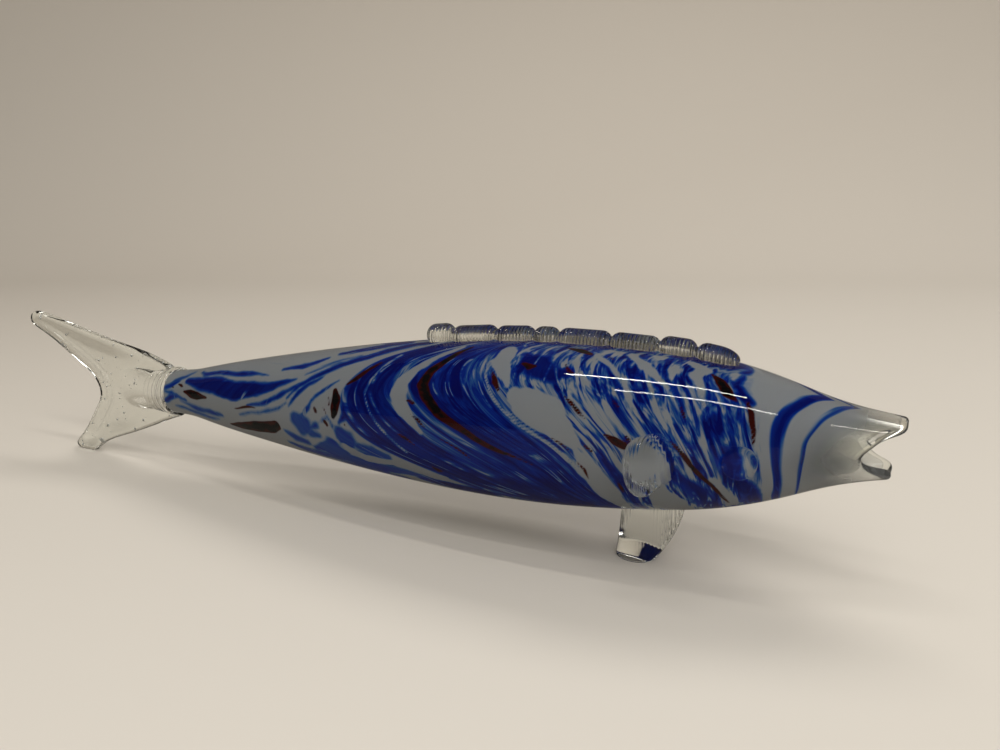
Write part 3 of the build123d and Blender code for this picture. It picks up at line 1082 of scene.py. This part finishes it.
@dataclass
class BlownBody:
    """Hollow bubble: marbled glass in a clear casing that runs on as the sheared lips."""

    axis: BlownAxis
    sides: int = 216
    casing_rows: int = 150
    core_rows: int = 320
    bore_rows: int = 50
    rim_rows: int = 8
    # Rings of the closed end: on its flat, and round its bend
    flat_rows: int = 4
    bend_rows: int = 8
    # The coloured wall's inside lies this far past the casing's, so that the two never coincide
    core_cover: float = 0.05
    # Rounds of smoothing that the flame gives the shear's rim
    lip_polish: int = 44

    def closed_end(self, depth: float) -> list[np.ndarray]:
        """Lay out the rings of the closed end.

        Args:
            depth: Depth under the skin.

        Returns:
            Rings of points, from the pole forward.
        """
        axis, bend = self.axis, self.axis.closed_end_round
        flat = axis.closed_end_radius - bend
        shares = np.linspace(0, 1, self.flat_rows, endpoint=False)
        rings = [axis.ring(depth, flat * share, self.sides) for share in shares]
        for angle in np.linspace(math.pi, math.pi / 2, self.bend_rows, endpoint=False):
            station = bend + (bend - depth) * math.cos(angle)
            rings.append(axis.ring(station, flat + (bend - depth) * math.sin(angle), self.sides))
        return rings

    def wall_rows(self, inset: float, wall: float, end: np.ndarray, rows: int) -> list[np.ndarray]:
        """Lay out rings of a wall from the outside of its closed end, round its rim and back inside.

        Args:
            inset: Depth of the wall's outer face under the skin.
            wall: Thickness of the wall.
            end: Station of the rim on each side.
            rows: Rings along the outside.

        Returns:
            Rings of points, each with one point a side.
        """
        axis, first = self.axis, self.axis.closed_end_round
        rings = self.closed_end(inset)
        for share in np.linspace(0, 1, rows):
            rings.append(axis.ring(*axis.under(first + (end - first) * share, inset), self.sides))
        outer, inner = axis.under(end, inset), axis.under(end, inset + wall)
        middle = [(a + b) / 2 for a, b in zip(outer, inner)]
        across = [(a - b) / 2 for a, b in zip(outer, inner)]
        for angle in np.linspace(0, math.pi, self.rim_rows + 2)[1:-1]:
            swing, lift = math.cos(angle), math.sin(angle)
            station = middle[0] + across[0] * swing + across[1] * lift
            radius = middle[1] + across[1] * swing - across[0] * lift
            rings.append(axis.ring(station, radius, self.sides))
        for share in np.linspace(1, 0, self.bore_rows):
            rings.append(axis.ring(*axis.under(first + (end - first) * share, inset + wall), self.sides))
        return rings + self.closed_end(inset + wall)[::-1]

    def rim(self) -> np.ndarray:
        """Find the rim that the shears left and the flame polished.

        Returns:
            Its station at evenly spaced turns, from the top and back.
        """
        turns = np.linspace(0, math.tau, self.sides + 1)
        half = [self.axis.rim(turn) for turn in turns[: self.sides // 2 + 1]]
        rim = np.array(half + half[-2::-1])
        for _ in range(self.lip_polish):
            rim = (np.roll(rim[:-1], 1) + 2 * rim[:-1] + np.roll(rim[:-1], -1)) / 4
            rim = np.append(rim, rim[0])
        return rim

    def build(self, clear: bpy.types.Material, marbled: MarbledGlass) -> bpy.types.Object:
        """Build and dress the casing and the bubble in it.

        Args:
            clear: Finish of the casing.
            marbled: Finish of the bubble.

        Returns:
            The casing.
        """
        axis, rim = self.axis, self.rim()
        rings = self.wall_rows(0, axis.wall, rim - axis.wall / 2, self.casing_rows)
        casing = skin_rings("casing_glass", rings)
        finish_piece(casing, "clear_glass", clear, "clear_casing")
        end = rim - axis.wall
        wall = axis.wall - axis.casing + self.core_cover
        bubble = skin_rings("marbled_bubble", self.wall_rows(axis.casing, wall, end, self.core_rows))
        marbled.write(bubble, axis, end)
        finish_piece(bubble, "opal_marbled_glass", marbled.build(), "opal_core")
        return casing


@dataclass
class AppliedBit:
    """A gather of clear glass stuck on hot: the CAD node's shape, softened by the flame."""

    node: str
    name: str
    voxel: float
    soften: int = 4
    # What lies within the seat of the skin is pushed in by the sink
    sink: float = 1.6
    seat: float = 0.7

    def build(self, axis: BlownAxis, material: bpy.types.Material) -> bpy.types.Object:
        """Build and dress the bit.

        Args:
            axis: Blown axis, whose skin the bit is stuck on.
            material: Finish.

        Returns:
            The finished piece.
        """
        piece = self.copy_node()
        add_modifier(piece, "REMESH", mode="VOXEL", voxel_size=self.voxel * MM)
        self.shape(piece, axis)
        add_modifier(piece, "SMOOTH", factor=0.5, iterations=self.soften)
        self.root(piece, axis)
        finish_piece(piece, "clear_glass", material, self.node)
        return piece

    def copy_node(self) -> bpy.types.Object:
        """Copy the CAD node's mesh and merge its loose triangles.

        Returns:
            The copy.
        """
        source = bpy.data.objects[self.node]
        piece = bpy.data.objects.new(self.name, source.data.copy())
        bpy.context.scene.collection.objects.link(piece)
        edit_all(piece)
        bpy.ops.mesh.remove_doubles(threshold=0.001 * MM)
        bpy.ops.object.mode_set(mode="OBJECT")
        return piece

    def shape(self, piece: bpy.types.Object, axis: BlownAxis) -> None:
        """Work the bit further. Most need no more."""

    def root(self, piece: bpy.types.Object, axis: BlownAxis) -> None:
        """Push what lies on the skin into the casing, so that no air is left between the glasses.

        Args:
            piece: Mesh of the bit.
            axis: Blown axis, whose skin the bit is stuck on.
        """
        station, height, side = axis.split(points_of(piece))
        radius = np.hypot(height, side)
        gap = radius - axis.skin(station)
        share = np.clip(1 - gap / self.seat, 0, 1)
        scale = (radius - share * self.sink) / np.maximum(radius, 1e-6)
        set_points(piece, axis.place(station, height * scale, side * scale))


@dataclass
class PressedFoot(AppliedBit):
    """Foot, pressed flat on the marver, with its heel rolled up on the side away from the camera.

    Seen through the front, a heel at this slope mirrors the navy belly, so the base looks dark.
    """

    heel: float = 11.0
    heel_slope: float = 0.62

    def shape(self, piece: bpy.types.Object, axis: BlownAxis) -> None:
        """Roll the heel up.

        Args:
            piece: Mesh of the bit.
            axis: Blown axis, which the heel doesn't need.
        """
        points = points_of(piece)
        low = points[:, 2] < self.heel
        roll = (points[:, 1] - points[low, 1].max() + self.heel) * self.heel_slope
        points[:, 2] = np.maximum(points[:, 2], roll)
        set_points(piece, points)
        add_modifier(piece, "REMESH", mode="VOXEL", voxel_size=self.voxel * MM)


@dataclass
class ForkedTail(AppliedBit):
    """Tail fork, pressed thin between paddles so that its rims stand proud."""

    # The middle is thinned by the press, which fades out across the rim
    rim: float = 13.0
    press: float = 0.3
    polish: int = 40
    # The press is full up to the fork's end and fades out over this length towards the collar
    fork_end: float = -52.0
    fork_fade: float = 30.0
    # Distances from the outline are found on a grid of square cells
    cell: float = 1.0
    edge_band: float = 0.6
    # From here on the root is pushed into the collar and drawn in
    root_start: float = -14.5
    root_push: float = 4.0
    root_shrink: float = 0.06

    def inward(self, points: np.ndarray) -> np.ndarray:
        """Measure how far each point of the fork lies in from its outline, seen from the side.

        Args:
            points: Rows of X, Y and Z.

        Returns:
            A distance for each row.
        """
        flat = points[:, [0, 2]]
        index = ((flat - flat.min(0)) / self.cell).astype(int) + 1
        outline = index[np.abs(points[:, 1]) < self.edge_band]
        grid = np.full(index.max(0) + 2, np.inf)
        grid[outline[:, 0], outline[:, 1]] = 0
        for _ in range(int(self.rim / self.cell) + 2):
            for right, up, step in ((1, 0, 1.0), (0, 1, 1.0), (1, 1, 1.41), (1, -1, 1.41)):
                for sign in (1, -1):
                    moved = np.roll(grid, (right * sign, up * sign), (0, 1)) + step
                    grid = np.minimum(grid, moved)
        return grid[index[:, 0], index[:, 1]] * self.cell

    def shape(self, piece: bpy.types.Object, axis: BlownAxis) -> None:
        """Thin the fork's middle, away from its outline.

        Args:
            piece: Mesh of the bit.
            axis: Blown axis, along which the press fades out.
        """
        points = points_of(piece)
        station, _, _ = axis.split(points)
        away = np.clip(self.inward(points) / self.rim, 0, 1)
        fade = np.clip((self.fork_end + self.fork_fade - station) / self.fork_fade, 0, 1)
        points[:, 1] *= 1 - self.press * fade * away**2 * (3 - 2 * away)
        set_points(piece, points)
        add_modifier(piece, "SMOOTH", factor=0.5, iterations=self.polish)

    def root(self, piece: bpy.types.Object, axis: BlownAxis) -> None:
        """Run the root on into the collar.

        Args:
            piece: Mesh of the bit.
            axis: Blown axis, which the collar is turned about.
        """
        station, height, side = axis.split(points_of(piece))
        share = np.clip(station - self.root_start, 0, 1)
        scale = 1 - self.root_shrink * share
        set_points(piece, axis.place(station + share * self.root_push, height * scale, side * scale))


@dataclass
class Seeds:
    """Tiny air bubbles left in a clear bit, each a closed pocket whose faces point into the air."""

    seed: int
    count: int
    smallest: float = 0.22
    largest: float = 1.1
    # A bubble's middle lies this many radii under the skin, and up to so many millimetres deeper
    cover: float = 1.4
    deeper: float = 2.0
    # Clear glass kept round it, in radii from its middle
    clearance: float = 1.2

    def add_to(self, piece: bpy.types.Object) -> None:
        """Scatter the bubbles in a piece and join them to it.

        Args:
            piece: Finished clear bit.
        """
        rng = np.random.default_rng(self.seed)
        points = points_of(piece)
        tree = BVHTree.FromObject(piece, bpy.context.evaluated_depsgraph_get())
        bubbles = []
        while len(bubbles) < self.count:
            point = points[rng.integers(len(points))]
            radius = self.smallest + (self.largest - self.smallest) * rng.random() ** 3
            place, normal, _, _ = tree.find_nearest(Vector(point * MM))
            deep = place - normal * (radius * self.cover + rng.random() * self.deeper) * MM
            nearest, facing, _, gap = tree.find_nearest(deep)
            if gap > radius * self.clearance * MM and (deep - nearest).dot(facing) < 0:
                bpy.ops.object.select_all(action="DESELECT")
                bpy.ops.mesh.primitive_ico_sphere_add(subdivisions=2, radius=radius * MM, location=deep)
                bubbles.append(bpy.context.active_object)
        for bubble in bubbles:
            bubble.select_set(True)
        bpy.ops.object.join()
        bpy.ops.object.transform_apply(location=True)
        edit_all(bubbles[-1])
        bpy.ops.mesh.flip_normals()
        bpy.ops.object.mode_set(mode="OBJECT")
        bpy.context.view_layer.objects.active = piece
        piece.select_set(True)
        bpy.ops.object.join()
        bpy.ops.object.shade_smooth()
        LOG.info("%s: %d air bubbles", piece.name, self.count)


@dataclass
class TailCollar:
    """Ringed collar, turned over the bubble's closed end and the root of the tail."""

    axis: BlownAxis
    front: float = 7.0
    length: float = 20.5
    rear_radius: float = 12.6
    front_radius: float = 15.3
    rear_round: float = 2.2
    round_steps: int = 6
    # Stations from the rear and from the front, and radii, out from one pole and in to the other
    rear_face: tuple[tuple[float, float], ...] = ((0.9, 0.0), (0.6, 4.0), (0.0, 8.0))
    front_face: tuple[tuple[float, float], ...] = ((0.3, 13.6), (-0.5, 11.2), (-2.2, 0.0))
    rings: int = 5
    ring_depth: float = 0.8
    ring_fullness: float = 0.7
    ring_steps: int = 8
    sides: int = 120

    def profile(self) -> list[tuple[float, float]]:
        """Draw the collar's outline from the rear pole, over the rings and in under the front.

        Returns:
            Station and radius of each point.
        """
        rear = self.front - self.length
        start, edge = rear + self.rear_round, self.rear_radius - self.rear_round
        points = [(rear + ahead, radius) for ahead, radius in self.rear_face]
        for angle in np.linspace(180, 90, self.round_steps + 1):
            turn = math.radians(angle)
            radius = edge + self.rear_round * math.sin(turn)
            points.append((start + self.rear_round * math.cos(turn), radius))
        for share in np.linspace(0, 1, self.rings * self.ring_steps + 1)[1:]:
            bulge = abs(math.sin(math.pi * share * self.rings)) ** self.ring_fullness * self.ring_depth
            radius = self.rear_radius + share * (self.front_radius - self.rear_radius) + bulge
            points.append((start + share * (self.front - start), radius))
        return points + [(self.front + ahead, radius) for ahead, radius in self.front_face]

    def build(self, material: bpy.types.Material) -> bpy.types.Object:
        """Turn the collar's outline about the blown axis, and dress it.

        Args:
            material: Finish.

        Returns:
            The finished piece.
        """
        rings = [self.axis.ring(station, radius, self.sides) for station, radius in self.profile()]
        piece = skin_rings("ringed_collar", rings)
        finish_piece(piece, "clear_glass", material, "tail_collar")
        return piece


def reflection_share(tree: bpy.types.NodeTree) -> bpy.types.Node:
    """Tell the rays that the glass mirrors from the others.

    Args:
        tree: Node tree that takes the nodes.

    Returns:
        The node that gives 1 for a ray mirrored off the glass and 0 for every other.
    """
    path = add_node(tree, "ShaderNodeLightPath", {}, {}).outputs
    rays = {0: path["Is Glossy Ray"], 1: path["Is Transmission Ray"]}
    return add_node(tree, "ShaderNodeMath", MINUS | HELD, rays)


@dataclass
class Studio:
    """Pale sweep, tube lamps and soft light, and the camera."""

    camera_place: tuple[float, float, float] = (281.65, -424.4, 208.9)
    camera_yaw: float = 25.33
    camera_pitch: float = 14.34
    camera_lens: float = 32.4
    camera_sensor: float = 36.0
    camera_near: float = 0.01
    sweep: str = "#cac5bd"
    # Painted shade: towards the back and the left the sweep darkens to this tone, between these distances
    wall: str = "#bcb5ab"
    painted_shade_from: float = -0.3
    painted_shade_to: float = 1.5
    painted_shade_slant: float = 0.6
    painted_shade_rise: float = 0.6
    paper_roughness: float = 0.75
    # Tone of the sweep where the glass mirrors it: painted shade that makes the sweep darker in the glass's
    # reflections
    mirrored: str = "#6a655e"
    lamp_colour: str = "#fffbf5"
    tube_width: float = 44.0
    soft_light: float = 43.0
    back_light: float = 24.0
    tube_light: float = 3.4
    # Strength of the room's light, and of what the glass lets through and mirrors of it
    room: str = "#f2efe9"
    room_light: float = 0.47
    room_seen_through: float = 0.1
    room_reflected: float = 0.05
    sweep_reach: float = 5200.0
    sweep_front: float = -900.0
    sweep_back: float = 900.0
    sweep_round: float = 600.0
    sweep_height: float = 2200.0
    sweep_steps: int = 20
    sweep_hem: float = 10.0

    def build_sweep(self) -> None:
        """Build the floor, which curves up into the backdrop."""
        foot, top = self.sweep_back + self.sweep_round, self.sweep_round + self.sweep_height
        line = [(-self.sweep_reach, 0.0), (self.sweep_front, 0.0), (0.0, 0.0), (self.sweep_back, 0.0)]
        for turn in np.linspace(0, math.pi / 2, self.sweep_steps + 1)[1:]:
            rise = self.sweep_round * (1 - math.cos(turn))
            line.append((self.sweep_back + self.sweep_round * math.sin(turn), rise))
        line += [(foot, self.sweep_round + self.sweep_height / 2), (foot, top)]
        line.append((foot - self.sweep_hem, top + self.sweep_hem))
        bpy.ops.object.select_all(action="DESELECT")
        bpy.ops.mesh.primitive_grid_add(x_subdivisions=2, y_subdivisions=len(line) - 1, size=1)
        sweep = bpy.context.active_object
        sweep.name = "studio_sweep"
        # The sweep faces the camera, which looks along the head's side
        yaw = math.radians(self.camera_yaw)
        rows = []
        for ahead, up in line:
            for side in (-self.sweep_reach, 0, self.sweep_reach):
                x = side * math.cos(yaw) - ahead * math.sin(yaw)
                y = side * math.sin(yaw) + ahead * math.cos(yaw)
                rows.append((x, y, up))
        set_points(sweep, np.array(rows))
        select_only(sweep)
        bpy.ops.object.shade_smooth()
        sweep.data.materials.append(self.paper(yaw))

    def paper(self, yaw: float) -> bpy.types.Material:
        """Dress the sweep in matt paper with painted shade that darkens it towards the back and the left.

        Args:
            yaw: Turn of the sweep, in radians.

        Returns:
            The material.
        """
        material = bpy.data.materials.new("studio_paper")
        material.use_nodes = True
        tree = material.node_tree
        tree.nodes.clear()
        place = add_node(tree, "ShaderNodeTexCoord", {}, {}).outputs["Object"]
        # Painted shade: the paper's tone falls off to the darker wall tone towards the back and the left
        back = {0: place, 1: (-math.sin(yaw) - self.painted_shade_slant, math.cos(yaw), self.painted_shade_rise)}
        back = add_node(tree, "ShaderNodeVectorMath", {"operation": "DOT_PRODUCT"}, back)
        rise = {"Value": back, "From Min": self.painted_shade_from, "From Max": self.painted_shade_to}
        share = add_node(tree, "ShaderNodeMapRange", {}, rise)
        tone = {0: share, 6: linear(self.sweep), 7: linear(self.wall)}
        tone = add_node(tree, "ShaderNodeMix", {"data_type": "RGBA"}, tone)
        # Painted shade in the reflections: rays mirrored off the glass see the sweep in the darker mirrored
        # tone
        seen = {0: reflection_share(tree), 6: tone, 7: linear(self.mirrored)}
        seen = add_node(tree, "ShaderNodeMix", {"data_type": "RGBA"}, seen)
        inputs = {"Base Color": seen, "Roughness": self.paper_roughness}
        shader = add_node(tree, "ShaderNodeBsdfPrincipled", {}, inputs)
        add_node(tree, "ShaderNodeOutputMaterial", {}, {"Surface": shader})
        return material

    def add_area(
        self,
        name: str,
        place: tuple[float, float, float],
        size: tuple[float, float],
        tilt: float,
        power: float,
        **seen: bool,
    ) -> None:
        """Add an area lamp over the fish.

        Args:
            name: Name of the lamp.
            place: Its middle, in millimetres.
            size: Its length along X and its width, in millimetres.
            tilt: Degrees from facing straight down towards facing back.
            power: Watts.
            seen: Which rays see it.
        """
        bpy.ops.object.light_add(type="AREA", location=Vector(place) * MM)
        lamp = bpy.context.active_object
        lamp.name = name
        lamp.rotation_euler = (math.radians(tilt), 0, 0)
        lamp.data.shape = "RECTANGLE"
        lamp.data.size, lamp.data.size_y = size[0] * MM, size[1] * MM
        lamp.data.energy = power
        lamp.data.color = linear(self.lamp_colour)[:3]
        for key, value in seen.items():
            setattr(lamp, key, value)

    def build(self) -> None:
        """Build the sweep, the lamps, the room's light and the camera."""
        self.build_sweep()
        tube = {"visible_transmission": False}
        self.add_area("back_tube", (75, -200, 1500), (950, self.tube_width), 0, self.tube_light, **tube)
        self.add_area("front_tube", (365, -700, 1500), (1150, self.tube_width), 0, self.tube_light, **tube)
        soft = {"visible_glossy": False}
        self.add_area("soft_front", (1350, -1700, 1950), (2600, 1500), 40, self.soft_light, **soft)
        self.add_area("soft_back", (300, 1250, 2000), (2000, 800), -32, self.back_light, **soft)
        self.build_room()
        self.build_camera()

    def build_room(self) -> None:
        """Light the scene from all round, dimmer for rays that come out of the glass."""
        world = bpy.data.worlds.new("soft_room")
        bpy.context.scene.world = world
        world.use_nodes = True
        tree = world.node_tree
        tree.nodes.clear()
        path = add_node(tree, "ShaderNodeLightPath", {}, {}).outputs
        through = {0: path["Is Transmission Ray"], 2: self.room_light, 3: self.room_seen_through}
        strength = add_node(tree, "ShaderNodeMix", {}, through)
        mirrored = {0: reflection_share(tree), 2: strength, 3: self.room_reflected}
        strength = add_node(tree, "ShaderNodeMix", {}, mirrored)
        room = {"Color": linear(self.room), "Strength": strength}
        room = add_node(tree, "ShaderNodeBackground", {}, room)
        add_node(tree, "ShaderNodeOutputWorld", {}, {"Surface": room})

    def build_camera(self) -> None:
        """Stand the camera where the photograph was taken."""
        yaw, pitch = math.radians(self.camera_yaw), math.radians(self.camera_pitch)
        level = math.cos(pitch)
        ahead = Vector((-math.sin(yaw) * level, math.cos(yaw) * level, -math.sin(pitch)))
        bpy.ops.object.camera_add(location=Vector(self.camera_place) * MM)
        camera = bpy.context.active_object
        camera.rotation_mode = "QUATERNION"
        camera.rotation_quaternion = ahead.to_track_quat("-Z", "Y")
        camera.data.lens = self.camera_lens
        camera.data.sensor_width = self.camera_sensor
        camera.data.clip_start = self.camera_near
        bpy.context.scene.camera = camera


def main() -> None:
    """Build the fish on its frame, then the studio."""
    logging.basicConfig(level=logging.INFO, format="%(message)s")
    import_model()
    axis = BlownAxis()
    clear = ClearGlass(ripple=0.006, ripple_length=30.0).build()
    crimped = ClearGlass("crimped_clear_glass", ripple=0.05, rib_step=1.9, rib_depth=0.3).build()
    ribs = {"ripple": 0.03, "rib_step": 1.7, "rib_depth": 0.14}
    drawn = ClearGlass("drawn_clear_glass", **ribs, rib_full=46.0, rib_gone=60.0).build()
    pressed = ClearGlass("pressed_clear_glass", **ribs, rib_axis="Z", rib_full=26.0, rib_gone=6.0).build()
    casing = BlownBody(axis).build(clear, MarbledGlass())
    collar = TailCollar(axis).build(clear)
    tail = ForkedTail("tail_fin", "forked_tail", 0.45).build(axis, clear)
    AppliedBit("dorsal_fin", "crimped_crest", 0.4, soften=9, sink=0.5).build(axis, crimped)
    glass = [casing, collar, tail]
    glass.append(PressedFoot("belly_foot", "pressed_foot", 0.4, soften=6).build(axis, pressed))
    for side in Side:
        fin = AppliedBit(f"{side.value}_pectoral_fin", f"{side.value}_paddle_fin", 0.35, soften=8)
        glass.append(fin.build(axis, drawn))
        eye = AppliedBit(f"{side.value}_eye", f"{side.value}_eye_disc", 0.25, soften=1)
        glass.append(eye.build(axis, clear))
    # The crest was laid on cooler than the rest, so its seam with the casing still shows
    melt_seams(glass)
    Seeds(seed=5, count=140).add_to(tail)
    Studio().build()
    bpy.context.scene.view_settings.view_transform = "Standard"


if __name__ == "__main__":
    main()
